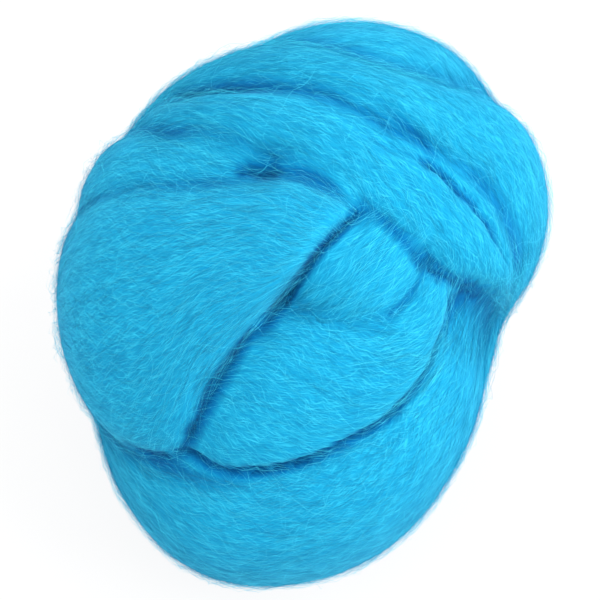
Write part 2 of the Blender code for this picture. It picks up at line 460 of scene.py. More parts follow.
class PressedBall:
    """The turns pressed together: one outer surface, softened where they meet.

    A pass brings every height to the mean of its neighbours. Valleys are filled by the turns' own softness,
    and crests are worn down by the crest share. Each turn then lies on the surface, lowered by the nap so
    that the fuzz can stand on it. From one lap past its edge it dips under its neighbour, by the cover at
    most. How far a much softer copy of the surface stands over it says how far down in a valley each point
    lies, and that darkens the wool's colour as painted shade.
    """

    sphere_splits = 8
    fine_passes = 5
    broad_passes = 110
    crest_share = 0.25
    weight_passes = 15
    valley_passes = 90
    bare_height = -12.0
    lap = 0.8
    lip = 0.05
    cover = 1.5
    nap = 0.9
    open_fade = 0.7
    valley_start = 0.12
    valley_full = 1.42

    def __init__(
        self, egg: Egg, laid: Sequence[LaidTurn], partings: Sequence[Parting], feltings: Sequence[Felting]
    ) -> None:
        """Finds the outer surface of the laid turns and softens it.

        Args:
            egg: The ball's egg.
            laid: Every turn, laid on the egg.
            partings: The valleys to draw in it.
            feltings: The runs where its valleys are nearly filled.
        """
        self.egg = egg
        self.towards, self.faces, self.edges = self.sphere()
        radius, face = outermost(search_tree(turn.tree(egg) for turn in laid), self.towards)
        counts = [len(turn.tree(egg)[1]) for turn in laid]
        owner = np.searchsorted(np.cumsum(counts), np.maximum(face, 0), side="right")
        softness = np.array([turn.turn.softness for turn in laid])[owner]
        height = np.where(radius > 0, radius - egg.radius(self.towards), self.bare_height)
        fine = self.softened(height, self.fine_passes)
        broad = self.softened(fine, self.broad_passes)
        weight = self.softened(softness, self.weight_passes)
        for felting in feltings:
            weight = np.maximum(weight, felting.fill(self.towards, egg))
        filling = weight * (broad - fine)
        height = fine + np.where(filling > 0, filling, self.crest_share * filling)
        for parting in partings:
            height = height - parting.drop(self.towards, egg)
        self.height = height
        self.filled = self.softened(height, self.valley_passes)
        self.tree = search_tree([(egg.points(self.towards, self.height), self.faces)])
        self.filled_tree = search_tree([(egg.points(self.towards, self.filled), self.faces)])

    @classmethod
    def sphere(cls) -> tuple[np.ndarray, np.ndarray, np.ndarray]:
        """Spreads directions evenly all round.

        Returns:
            The directions, and the triangles and the edges between them.
        """
        mesh = bmesh.new()
        bmesh.ops.create_icosphere(mesh, subdivisions=cls.sphere_splits, radius=1.0)
        towards = unit(np.array([vert.co[:] for vert in mesh.verts]))
        faces = np.array([[vert.index for vert in face.verts] for face in mesh.faces])
        edges = np.array([[vert.index for vert in edge.verts] for edge in mesh.edges])
        mesh.free()
        return towards, faces, edges

    def softened(self, values: np.ndarray, passes: int) -> np.ndarray:
        """Brings values to the mean of their neighbours, again and again.

        Args:
            values: One number for each direction.
            passes: How many times.

        Returns:
            The softened numbers.
        """
        count = len(self.towards)
        here, there = self.edges.T
        neighbours = np.bincount(here, minlength=count) + np.bincount(there, minlength=count)
        for _ in range(passes):
            total = np.bincount(here, values[there], count) + np.bincount(there, values[here], count)
            values = total / neighbours
        return values

    @staticmethod
    def widened(lead: np.ndarray, closed: bool) -> np.ndarray:
        """The greatest value among each grid point and its neighbours.

        Args:
            lead: The values, row by row.
            closed: Whether the last row joins the first.

        Returns:
            The greatest values.
        """
        rows = np.pad(lead, ((1, 1), (0, 0)), mode="wrap" if closed else "edge")
        tall = np.maximum(np.maximum(rows[:-2], rows[1:-1]), rows[2:])
        wide = np.pad(tall, ((0, 0), (1, 1)), mode="edge")
        return np.maximum(np.maximum(wide[:, :-2], wide[:, 1:-1]), wide[:, 2:])

    def press(self, laid: LaidTurn, others: BVHTree) -> tuple[np.ndarray, np.ndarray, np.ndarray]:
        """Presses one turn into the ball.

        Args:
            laid: The turn.
            others: The outer surface of the other turns.

        Returns:
            The height of each of its points over the egg, how open it lies, from 0 to 1, and how far down in
            a valley it lies, from 0 to 1, which is the mask for the painted valley shade.
        """
        towards = laid.towards.reshape(-1, 3)
        egg_radius = self.egg.radius(towards)
        own = laid.height.reshape(-1)
        over, _ = outermost(others, towards)
        lead = own - (over - egg_radius)
        soft, _ = outermost(self.tree, towards)
        filled, _ = outermost(self.filled_tree, towards)
        open_share = np.clip(1 + lead / self.open_fade, 0, 1)
        # How far down in a valley each point lies: the mask that darkens the wool there as painted shade.
        valley = (filled - soft - self.valley_start) / (self.valley_full - self.valley_start)
        valley = np.clip(valley, 0, 1)
        shape = laid.height.shape
        wide = self.widened(lead.reshape(shape), laid.closed).reshape(-1)
        covered = np.clip(wide + self.lap, -self.cover, 0)
        lifted = self.lip * np.clip(lead / self.lap, -1, 1)
        height = soft - egg_radius - self.nap + covered + lifted
        return height.reshape(shape), open_share.reshape(shape), valley.reshape(shape)


# ---------------------------------------------------------------- nodes


class Bench:
    """Adds nodes to a shader or geometry tree."""

    def __init__(self, tree: bpy.types.NodeTree) -> None:
        """Works on the given tree."""
        self.tree = tree

    def add(
        self,
        kind: str,
        settings: Union[dict, None] = None,
        inputs: Union[dict, None] = None,
        output: Union[str, int] = 0,
    ) -> "Value":
        """Adds one node.

        Args:
            kind: The node's type.
            settings: Properties to set on it first.
            inputs: Values or links for its sockets, by name or place.
            output: The output to return.

        Returns:
            The chosen output.
        """
        node = self.tree.nodes.new(kind)
        for name, setting in (settings or {}).items():
            setattr(node, name, setting)
        for key, value in (inputs or {}).items():
            self.feed(self.socket(node.inputs, key), value)
        return Value(self, self.socket(node.outputs, output))

    @staticmethod
    def socket(sockets: Any, key: Union[str, int]) -> bpy.types.NodeSocket:
        """The socket in use with that name or place."""
        live = [socket for socket in sockets if socket.enabled]
        return live[key] if isinstance(key, int) else next(s for s in live if s.name == key)

    def feed(self, socket: bpy.types.NodeSocket, value: Any) -> None:
        """Links a value to a socket, or sets the socket to it.

        Args:
            socket: The socket.
            value: A node's output, or a plain setting.
        """
        if isinstance(value, Value):
            self.tree.links.new(value.socket, socket)
        else:
            socket.default_value = value

    def vector(self, x: Any = 0.0, y: Any = 0.0, z: Any = 0.0) -> "Value":
        """A vector from three numbers."""
        return self.add("ShaderNodeCombineXYZ", inputs={"X": x, "Y": y, "Z": z})

    def vector_maths(self, operation: str, *operands: Any, output: Union[str, int] = 0) -> "Value":
        """A Vector Math node."""
        inputs = dict(enumerate(operands))
        return self.add("ShaderNodeVectorMath", {"operation": operation}, inputs, output)

    def parts(self, vector: "Value") -> tuple["Value", "Value", "Value"]:
        """Takes a vector apart.

        Args:
            vector: The vector.

        Returns:
            Its three numbers.
        """
        first = self.add("ShaderNodeSeparateXYZ", inputs={0: vector})
        node = first.socket.node
        return first, Value(self, node.outputs[1]), Value(self, node.outputs[2])


def operator(operation: str, swapped: bool = False) -> Callable:
    """Makes one of Python's operators for node outputs.

    Args:
        operation: The Math node's operation.
        swapped: Whether the output comes second, as in 1 - mask.

    Returns:
        The operator's method.
    """

    def method(self: "Value", other: Any) -> "Value":
        """A Math node on this output and the other value."""
        operands = (other, self) if swapped else (self, other)
        return self.bench.add("ShaderNodeMath", {"operation": operation}, dict(enumerate(operands)))

    return method


class Value:
    """A node's output, on which Python's arithmetic adds Math nodes."""

    __add__ = __radd__ = operator("ADD")
    __sub__ = operator("SUBTRACT")
    __rsub__ = operator("SUBTRACT", swapped=True)
    __mul__ = __rmul__ = operator("MULTIPLY")
    __truediv__ = operator("DIVIDE")
    __pow__ = operator("POWER")

    def __init__(self, bench: Bench, socket: bpy.types.NodeSocket) -> None:
        """Wraps an output socket."""
        self.bench = bench
        self.socket = socket

    def maths(self, operation: str, *operands: Any) -> "Value":
        """A Math node on this value and the operands."""
        return self.bench.add("ShaderNodeMath", {"operation": operation}, dict(enumerate((self, *operands))))

    def clamped(self) -> "Value":
        """The value, held between 0 and 1."""
        return self.bench.add("ShaderNodeClamp", inputs={"Value": self})

    def span(self, low: float, high: float, to_low: float, to_high: float) -> "Value":
        """The value with one range carried to another, and held there."""
        ranges = {"Value": self, "From Min": low, "From Max": high, "To Min": to_low, "To Max": to_high}
        return self.bench.add("ShaderNodeMapRange", {"clamp": True}, ranges)


# ---------------------------------------------------------------- finishes

Colour = tuple[float, float, float, float]


@dataclass(frozen=True)
class DyeAndPaintedLight:
    """The wool's colour scale: painted shade in the creases between fibres, the dyed wool's own colours, and
    pale hairs lit by a painted highlight.
    """

    # The lowest colours are painted shade, reached only where the valley shade darkens the wool; the top one
    # is partly a painted highlight, reached where the glint lightens high hairs.
    painted_crease_shade: Colour = (0.000, 0.036, 0.150, 1.0)
    shade: Colour = (0.001, 0.145, 0.370, 1.0)
    body: Colour = (0.008, 0.308, 0.520, 1.0)
    hair_and_highlight: Colour = (0.070, 0.740, 0.935, 1.0)

    def stops(self) -> list[tuple[float, Colour]]:
        """The colours' places on the scale of shades, from 0 to 1."""
        return [(0.0, self.painted_crease_shade), (0.34, self.shade), (0.66, self.body), (1.0, self.hair_and_highlight)]


@dataclass(frozen=True)
class WoolFinish:
    """What the wool's two finishes share: their colour scale, with its painted shade and painted highlight,
    their roughness and sheen.
    """

    dye_and_light: DyeAndPaintedLight = DyeAndPaintedLight()
    roughness: float = 0.95
    sheen: float = 0.16
    sheen_roughness: float = 0.45
    sheen_tint: Colour = (0.35, 0.85, 1.0, 1.0)
    specular: float = 0.06

    def start(self, name: str) -> tuple[bpy.types.Material, Bench, bpy.types.Node]:
        """A new material with the wool's constants set.

        Args:
            name: The material's name.

        Returns:
            The material, a bench for its tree, and its shader.
        """
        material = bpy.data.materials.new(name)
        material.use_nodes = True
        shader = material.node_tree.nodes["Principled BSDF"]
        shader.inputs["Roughness"].default_value = self.roughness
        shader.inputs["Sheen Weight"].default_value = self.sheen
        shader.inputs["Sheen Roughness"].default_value = self.sheen_roughness
        shader.inputs["Sheen Tint"].default_value = self.sheen_tint
        shader.inputs["Specular IOR Level"].default_value = self.specular
        return material, Bench(material.node_tree), shader

    def dyed(self, bench: Bench, shade: Value) -> Value:
        """The colour at each shade, from painted crease shade through the dyed wool to a painted highlight.

        Args:
            bench: The material's bench.
            shade: A number from 0 to 1.

        Returns:
            The colour.
        """
        ramp = bench.add("ShaderNodeValToRGB", inputs={"Fac": shade})
        band = ramp.socket.node.color_ramp
        stops = self.dye_and_light.stops()
        for _ in stops[2:]:
            band.elements.new(0.5)
        for element, (place, colour) in zip(band.elements, stops):
            element.position = place
            element.color = colour
        return ramp


@dataclass(frozen=True)
class CombedWool(WoolFinish):
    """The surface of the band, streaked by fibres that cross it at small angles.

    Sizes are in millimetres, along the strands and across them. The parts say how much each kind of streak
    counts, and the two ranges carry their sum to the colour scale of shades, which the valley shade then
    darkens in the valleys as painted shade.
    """

    hair_size: tuple = (6.0, 0.22)
    crossings: tuple = (-11.0, 0.0, 11.0)
    wisp_size: tuple = (16.0, 0.9)
    wisp_angle: float = 4.0
    lock_size: tuple = (70.0, 6.0)
    cloud_scale: float = 60.0
    hair_part: float = 0.72
    wisp_part: float = 0.10
    lock_part: float = 0.10
    cloud_part: float = 0.08
    streak_range: tuple = (0.44, 0.66)
    shade_range: tuple = (0.50, 0.78)
    valley_shade: float = 0.85
    crimp_scale: float = 260.0
    crimp: float = 1.5
    bump: float = 0.35
    bump_depth: float = 0.2

    def crimped(self, bench: Bench, strand: Value, place: Value) -> Value:
        """Strand coordinates that waver from side to side.

        Args:
            bench: The material's bench.
            strand: The strand coordinates.
            place: The place on the piece.

        Returns:
            The wavering coordinates.
        """
        waver = bench.add(
            "ShaderNodeTexNoise", inputs={"Vector": place, "Scale": self.crimp_scale, "Detail": 1.0}
        )
        side = bench.vector(0.0, (waver - 0.5) * (self.crimp * MM))
        return bench.vector_maths("ADD", strand, side)

    def streaks(self, bench: Bench, strand: Value, size: tuple, angle: float, detail: float) -> Value:
        """Noise stretched along the strands, and shifted so that no two angles draw the same streaks.

        Args:
            bench: The material's bench.
            strand: The strand coordinates.
            size: The noise's length along and across.
            angle: Degrees from the strands' own direction.
            detail: How many finer layers it has.

        Returns:
            The noise, from 0 to 1.
        """
        mapping = {
            "Vector": strand,
            "Location": (angle * MM, 0.0, 0.0),
            "Rotation": (0.0, 0.0, math.radians(angle)),
            "Scale": (size[0] * MM, size[1] * MM, 1.0),
        }
        place = bench.add("ShaderNodeMapping", {"vector_type": "TEXTURE"}, mapping)
        return bench.add(
            "ShaderNodeTexNoise",
            inputs={"Vector": place, "Scale": 1.0, "Detail": detail, "Roughness": 0.6},
        )

    def material(self) -> bpy.types.Material:
        """Builds the material.

        Returns:
            The material.
        """
        material, bench, shader = self.start("combed_wool")
        strand = bench.add("ShaderNodeAttribute", {"attribute_name": STRAND}, output="Vector")
        valley = bench.add("ShaderNodeAttribute", {"attribute_name": VALLEY_SHADE_MASK}, output="Fac")
        place = bench.add("ShaderNodeTexCoord", output="Object")
        crimped = self.crimped(bench, strand, place)
        layers = [self.streaks(bench, crimped, self.hair_size, angle, 1.0) for angle in self.crossings]
        hairs = layers[0].maths("MAXIMUM", layers[1]).maths("MAXIMUM", layers[2])
        wisps = self.streaks(bench, crimped, self.wisp_size, self.wisp_angle, 2.0)
        locks = self.streaks(bench, strand, self.lock_size, 0.0, 1.0)
        clouds = bench.add(
            "ShaderNodeTexNoise", inputs={"Vector": place, "Scale": self.cloud_scale, "Detail": 2.0}
        )
        streak = self.hair_part * hairs + self.wisp_part * wisps
        streak = streak + self.lock_part * locks + self.cloud_part * clouds
        # Painted shade: the shade is darkened where the surface lies down in a valley.
        shade = streak.span(*self.streak_range, *self.shade_range) * (1 - self.valley_shade * valley)
        bench.feed(shader.inputs["Base Color"], self.dyed(bench, shade.clamped()))
        relief = {"Strength": self.bump, "Distance": self.bump_depth * MM, "Height": hairs}
        bump = bench.add("ShaderNodeBump", inputs=relief)
        bench.feed(shader.inputs["Normal"], bump)
        return material


@dataclass(frozen=True)
class LooseWool(WoolFinish):
    """Single hairs, each with its own shade: its random tone, darkened in the valleys as painted shade and
    lightened where it stands high by a painted highlight.
    """

    roughness: float = 0.72
    sheen: float = 0.15

    def material(self) -> bpy.types.Material:
        """Builds the material.

        Returns:
            The material.
        """
        material, bench, shader = self.start("loose_wool")
        shade = bench.add("ShaderNodeAttribute", {"attribute_name": SHADE}, output="Fac")
        bench.feed(shader.inputs["Base Color"], self.dyed(bench, shade))
        return material


# ---------------------------------------------------------------- fibres


@dataclass(frozen=True)
class HairSizes:
    """How one kind of fibre grows on a surface, in millimetres and degrees.

    Fibres to each square millimetre, and the points along each. Length with its spread, as a share. Drift
    is the most it turns from the strands, curl its bend, and crimp its wave. The arch lifts its middle, the
    rise its loose end, and bury sinks both ends. Shades run on the colour scale, and the glint, a painted
    highlight, adds to them with the square of the height. It grows only where the surface lies more open
    than its openness.
    """

    per_area: float
    points: int
    length: float
    spread: float
    drift: float
    curl: float
    crimp: float
    arch: float
    rise: float
    bury: float
    thickness: float
    shade_low: float
    shade_high: float
    openness: float
    glint: float


class HairKind(Enum):
    """The kinds of fibre on the ball."""

    LAID = HairSizes(
        per_area=0.28,
        points=4,
        length=18.0,
        spread=0.5,
        drift=12.0,
        curl=0.12,
        crimp=0.15,
        arch=0.14,
        rise=0.10,
        bury=0.06,
        thickness=0.024,
        shade_low=0.60,
        shade_high=0.75,
        openness=0.5,
        glint=0.0,
    )
    STRAY = HairSizes(
        per_area=0.006,
        points=13,
        length=26.0,
        spread=0.6,
        drift=70.0,
        curl=0.45,
        crimp=0.8,
        arch=2.2,
        rise=0.8,
        bury=0.35,
        thickness=0.030,
        shade_low=0.72,
        shade_high=0.92,
        openness=0.0,
        glint=0.0,
    )
    FUZZ = HairSizes(
        per_area=0.66,
        points=3,
        length=12.0,
        spread=0.5,
        drift=25.0,
        curl=0.15,
        crimp=0.20,
        arch=1.7,
        rise=1.7,
        bury=0.0,
        thickness=0.022,
        shade_low=0.54,
        shade_high=0.68,
        openness=0.3,
        glint=0.30,
    )
    DOWN = HairSizes(
        per_area=0.06,
        points=3,
        length=7.0,
        spread=0.5,
        drift=180.0,
        curl=0.30,
        crimp=0.3,
        arch=1.7,
        rise=1.7,
        bury=0.0,
        thickness=0.023,
        shade_low=0.54,
        shade_high=0.68,
        openness=0.0,
        glint=0.30,
    )


@dataclass(frozen=True)
class StrandField:
    """The range of a surface's strand coordinates."""

    start: float
    end: float
    low: float
    high: float
    joined: bool = False

    @property
    def area(self) -> float:
        """The range's area."""
        return (self.end - self.start) * (self.high - self.low)


class HairTree:
    """The Geometry Nodes tree that grows fibres over a surface by its strand coordinates.

    Each try is a short line with its chances drawn: where its root is, how long it is and how it lies. Tries
    that run off the surface or start under a neighbouring turn are taken away, and the rest are laid on the
    surface point by point and given a three-sided body.
    """

    numbers = (
        "Length",
        "Spread",
        "Drift",
        "Curl",
        "Crimp",
        "Arch",
        "Rise",
        "Bury",
        "Thickness",
        "Shade Low",
        "Shade High",
        "Openness",
        "Glint",
        "Strand Start",
        "Strand End",
        "Strand Low",
        "Strand High",
    )
    whole_numbers = ("Tries", "Points", "Seed")
    chances = ("bend", "wave", "lift", "girth", "tone")
    scratch = ("root", "reach", "turned", *chances, "share", "side")
    tested_shares = (-0.48, 0.0, 0.48)
    wave_length = 9.0
    wave_starts = 20.0
    curl_gain = 4.0
    valley_shade = 0.75
    tip_girth = 0.2
    least_girth = 0.65
    girth_range = 0.7
    side_shade = 0.03

    def __init__(self, material: bpy.types.Material) -> None:
        """Builds the tree.

        Args:
            material: The finish that the fibres get.
        """
        self.tree = bpy.data.node_groups.new("grow_hairs", "GeometryNodeTree")
        face = self.tree.interface
        face.new_socket("Geometry", in_out="OUTPUT", socket_type="NodeSocketGeometry")
        face.new_socket("Geometry", in_out="INPUT", socket_type="NodeSocketGeometry")
        self.sockets: dict[str, str] = {}
        for names, kind in ((self.numbers, "NodeSocketFloat"), (self.whole_numbers, "NodeSocketInt")):
            for name in names:
                self.sockets[name] = face.new_socket(name, in_out="INPUT", socket_type=kind).identifier
        joined = face.new_socket("Joined", in_out="INPUT", socket_type="NodeSocketBool")
        self.sockets["Joined"] = joined.identifier
        self.bench = Bench(self.tree)
        self.entry = self.tree.nodes.new("NodeGroupInput")
        self.build(material)

    def given(self, name: str) -> Value:
        """One of the tree's inputs."""
        return Value(self.bench, self.entry.outputs[name])

    def chance(self, low: Any, high: Any, salt: int) -> Value:
        """A number for each fibre, drawn between two others.

        Args:
            low: The least that it may be.
            high: The most.
            salt: Sets this draw apart from the others.

        Returns:
            The number.
        """
        return self.bench.add(
            "FunctionNodeRandomValue",
            {"data_type": "FLOAT"},
            {"Min": low, "Max": high, "Seed": self.given("Seed") + salt},
        )

    def named(self, name: str, kind: str = "FLOAT") -> Value:
        """An attribute read by name."""
        return self.bench.add("GeometryNodeInputNamedAttribute", {"data_type": kind}, {"Name": name})

    def store(self, geometry: Value, name: str, value: Value, domain: str, kind: str = "FLOAT") -> Value:
        """Stores an attribute.

        Args:
            geometry: The geometry that carries it.
            name: Its name.
            value: What it holds.
            domain: What it is held on.
            kind: Its type.

        Returns:
            The geometry with it.
        """
        return self.bench.add(
            "GeometryNodeStoreNamedAttribute",
            {"data_type": kind, "domain": domain},
            {"Geometry": geometry, "Name": name, "Value": value},
        )

    def sampled(self, value: Value, at: Value, kind: str, output: str = "Value") -> Value:
        """Looks a value up on the surface.

        Args:
            value: The surface's value.
            at: The strand coordinate to look at.
            kind: The value's type.
            output: The output to return.

        Returns:
            What the value is there, or whether the surface reaches that far.
        """
        return self.bench.add(
            "GeometryNodeSampleUVSurface",
            {"data_type": kind},
            {
                "Mesh": self.given("Geometry"),
                "Value": value,
                "UV Map": self.named(STRAND, "FLOAT_VECTOR"),
                "Sample UV": at,
            },
            output,
        )

    def on_strand(self, place: Value) -> Value:
        """Brings a strand coordinate round again where the turn joins itself.

        Args:
            place: The strand coordinate in millimetres.

        Returns:
            The strand coordinate in metres.
        """
        along, across, _ = self.bench.parts(place)
        round_again = along.maths("WRAP", self.given("Strand End"), self.given("Strand Start"))
        along = self.bench.add(
            "GeometryNodeSwitch",
            {"input_type": "FLOAT"},
            {"Switch": self.given("Joined"), "False": along, "True": round_again},
        )
        return self.bench.vector(along * MM, across * MM)

    def roots(self) -> Value:
        """Draws one short straight line for each try, and takes the hidden ones away.

        Returns:
            The lines, with their chances stored on them.
        """
        add = self.bench.add
        line = add("GeometryNodeCurvePrimitiveLine", inputs={"End": (1.0, 0.0, 0.0)})
        line = add("GeometryNodeResampleCurve", inputs={"Curve": line, "Count": self.given("Points")})
        tries = add("GeometryNodePoints", inputs={"Count": self.given("Tries")})
        lines = add("GeometryNodeInstanceOnPoints", inputs={"Points": tries, "Instance": line})
        lines = add("GeometryNodeRealizeInstances", inputs={"Geometry": lines})
        along = self.chance(self.given("Strand Start"), self.given("Strand End"), 1)
        across = self.chance(self.given("Strand Low"), self.given("Strand High"), 2)
        lines = self.store(lines, "root", self.bench.vector(along, across), "CURVE", "FLOAT_VECTOR")
        spread = self.given("Spread")
        reach = self.given("Length") * self.chance(1 - spread, 1 + spread, 3)
        lines = self.store(lines, "reach", reach, "CURVE")
        lines = self.store(lines, "turned", self.given("Drift") * self.chance(-1.0, 1.0, 4), "CURVE")
        for salt, name in enumerate(self.chances, start=5):
            lines = self.store(lines, name, self.chance(0.0, 1.0, salt), "CURVE")
        for share in self.tested_shares:
            valid = self.sampled(self.named(OPEN), self.path(share), "FLOAT", "Is Valid")
            lost = add("FunctionNodeBooleanMath", {"operation": "NOT"}, {0: valid})
            lines = self.without(lines, lost)
        hidden = add(
            "FunctionNodeCompare",
            {"operation": "LESS_THAN"},
            {"A": self.sampled(self.named(OPEN), self.path(0.0), "FLOAT"), "B": self.given("Openness")},
        )
        return self.without(lines, hidden)

    def without(self, lines: Value, lost: Value) -> Value:
        """Takes lines away.

        Args:
            lines: All the lines.
            lost: Which of them go.

        Returns:
            The rest.
        """
        return self.bench.add(
            "GeometryNodeDeleteGeometry", {"domain": "CURVE"}, {"Geometry": lines, "Selection": lost}
        )

    def path(self, share: Any) -> Value:
        """Where a fibre runs.

        Args:
            share: A share of the fibre's length, from -0.5 to 0.5 about its root.

        Returns:
            The strand coordinate there.
        """
        reach = self.named("reach")
        along = reach * share
        phase = self.named("wave") * self.wave_starts
        wave = (along * (2 * math.pi / self.wave_length) + phase).maths("SINE")
        bend = (self.named("bend") - 0.5) * self.given("Curl") * self.curl_gain
        across = bend * along * share + wave * self.given("Crimp")
        turned = self.named("turned")
        cosine, sine = turned.maths("COSINE"), turned.maths("SINE")
        step = self.bench.vector(along * cosine - across * sine, along * sine + across * cosine)
        root = self.named("root", "FLOAT_VECTOR")
        return self.on_strand(self.bench.vector_maths("ADD", root, step))

    def build(self, material: bpy.types.Material) -> None:
        """Puts the tree together.

        Args:
            material: The finish that the fibres get.
        """
        lines = self.roots()
        number = self.bench.add("GeometryNodeSplineParameter", output="Index")
        share = number / (self.given("Points") - 1) - 0.5
        lines = self.laid(lines, share)
        hairs = self.bodied(lines, share)
        add = self.bench.add
        hairs = add("GeometryNodeSetShadeSmooth", inputs={"Geometry": hairs})
        hairs = add("GeometryNodeRealizeInstances", inputs={"Geometry": hairs})
        hairs = add("GeometryNodeSetMaterial", inputs={"Geometry": hairs, "Material": material})
        exit_node = self.tree.nodes.new("NodeGroupOutput")
        self.tree.links.new(hairs.socket, exit_node.inputs[0])

    def laid(self, lines: Value, share: Value) -> Value:
        """Lays the lines on the surface and gives them their tones, with painted valley shade and a
        highlight.

        Args:
            lines: The lines, as they were drawn.
            share: Each point's share of its line, from -0.5 to 0.5.

        Returns:
            The lines in their places.
        """
        add = self.bench.add
        place = self.path(share)
        surface = self.sampled(add("GeometryNodeInputPosition"), place, "FLOAT_VECTOR")
        outward = self.sampled(add("GeometryNodeInputNormal"), place, "FLOAT_VECTOR")
        valley = self.sampled(self.named(VALLEY_SHADE_MASK), place, "FLOAT")
        ends = (share * 2.0).maths("ABSOLUTE")
        lift = self.named("lift")
        height = self.given("Arch") * lift**2.0 * (1 - ends * ends) - self.given("Bury") * ends**4.0
        height = height + self.given("Rise") * self.named("bend") ** 2.0 * (share + 0.5) ** 2.0
        step = self.bench.vector_maths("SCALE", outward)
        self.bench.feed(step.socket.node.inputs["Scale"], height * MM)
        x, y, z = self.bench.parts(self.bench.vector_maths("ADD", surface, step))
        moved = self.bench.vector(x, y, z.maths("MAXIMUM", 0.0))
        darkest, palest = self.given("Shade Low"), self.given("Shade High")
        tone = darkest + self.named("tone") * (palest - darkest)
        # Painted shade darkens the hairs in the valleys, and a painted highlight, the glint, lightens them
        # where they stand high.
        tone = tone * (1 - self.valley_shade * valley) + self.given("Glint") * height**2.0
        lines = self.store(lines, SHADE, tone.clamped(), "POINT")
        lines = self.store(lines, "share", share + 0.5, "POINT")
        return add("GeometryNodeSetPosition", inputs={"Geometry": lines, "Position": moved})

    def bodied(self, lines: Value, share: Value) -> Value:
        """Gives the lines their three-sided bodies, thinner at the ends, and their places on the bake map.

        Args:
            lines: The lines in their places.
            share: Each point's share of its line, from -0.5 to 0.5.

        Returns:
            The fibres.
        """
        add = self.bench.add
        ends = (share * 2.0).maths("ABSOLUTE")
        taper = 1 - (1 - self.tip_girth) * ends**4.0
        girth = self.least_girth + self.girth_range * self.named("girth")
        girth = self.given("Thickness") * MM * taper * girth
        ring = add("GeometryNodeCurvePrimitiveCircle", inputs={"Resolution": 3, "Radius": 1.0})
        ring = self.store(ring, "side", add("GeometryNodeInputIndex") / 3.0, "POINT")
        hairs = add(
            "GeometryNodeCurveToMesh",
            inputs={"Curve": lines, "Profile Curve": ring, "Scale": girth, "Fill Caps": True},
        )
        column = self.named(SHADE) * (1 - self.side_shade) + self.named("side") * self.side_shade
        spot = self.bench.vector(column, self.named("share"))
        return self.store(hairs, BAKE_MAP, spot, "CORNER", "FLOAT2")

    def grow(
        self, name: str, surface: bpy.types.Mesh, kind: HairKind, field: StrandField, seed: int
    ) -> bpy.types.Object:
        """Grows one kind of fibre on a surface.

        Args:
            name: The new piece's name.
            surface: The surface's mesh, with its strand coordinates.
            kind: The kind of fibre.
            field: The range of the surface's strand coordinates.
            seed: The seed of the fibres' chances.

        Returns:
            The fibres as a plain mesh object.
        """
        host = bpy.data.objects.new(name + "_host", surface)
        bpy.context.scene.collection.objects.link(host)
        modifier = host.modifiers.new("hairs", "NODES")
        modifier.node_group = self.tree
        sizes = kind.value
        values = {
            "Length": sizes.length,
            "Spread": sizes.spread,
            "Drift": math.radians(sizes.drift),
            "Curl": sizes.curl,
            "Crimp": sizes.crimp,
            "Arch": sizes.arch,
            "Rise": sizes.rise,
            "Bury": sizes.bury,
            "Thickness": sizes.thickness,
            "Shade Low": sizes.shade_low,
            "Shade High": sizes.shade_high,
            "Openness": sizes.openness,
            "Glint": sizes.glint,
            "Strand Start": field.start,
            "Strand End": field.end,
            "Strand Low": field.low,
            "Strand High": field.high,
            "Tries": round(sizes.per_area * field.area),
            "Points": sizes.points,
            "Seed": seed,
            "Joined": field.joined,
        }
        for key, value in values.items():
            modifier[self.sockets[key]] = value
        graph = bpy.context.evaluated_depsgraph_get()
        mesh = bpy.data.meshes.new_from_object(host.evaluated_get(graph))
        host.modifiers.clear()
        bpy.data.objects.remove(host)
        for extra in [held.name for held in mesh.attributes if held.name in self.scratch]:
            mesh.attributes.remove(mesh.attributes[extra])
        mesh.name = name
        piece = bpy.data.objects.new(name, mesh)
        bpy.context.scene.collection.objects.link(piece)
        return piece


# ---------------------------------------------------------------- pieces


def settle(piece: bpy.types.Object) -> None:
    """Rides a piece on the ball and reports it.

    Args:
        piece: The finished piece.
    """
    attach(piece, BODY)
    log.info("%s: %d faces", piece.name, len(piece.data.polygons))


def strand_values(mesh: bpy.types.Mesh, values: np.ndarray) -> None:
    """Stores the strand coordinates of a mesh's corners, in metres.

    Args:
        mesh: The mesh.
        values: Strand coordinates in millimetres, one row per corner.
    """
    flat = np.concatenate([values, np.zeros((len(values), 1))], axis=1) * MM
    attribute = mesh.attributes.new(STRAND, "FLOAT_VECTOR", "CORNER")
    attribute.data.foreach_set("vector", flat.astype(np.float32).ravel())


def point_values(mesh: bpy.types.Mesh, name: str, values: np.ndarray) -> None:
    """Stores one number for each point of a mesh."""
    attribute = mesh.attributes.new(name, "FLOAT", "POINT")
    attribute.data.foreach_set("value", values.astype(np.float32).ravel())


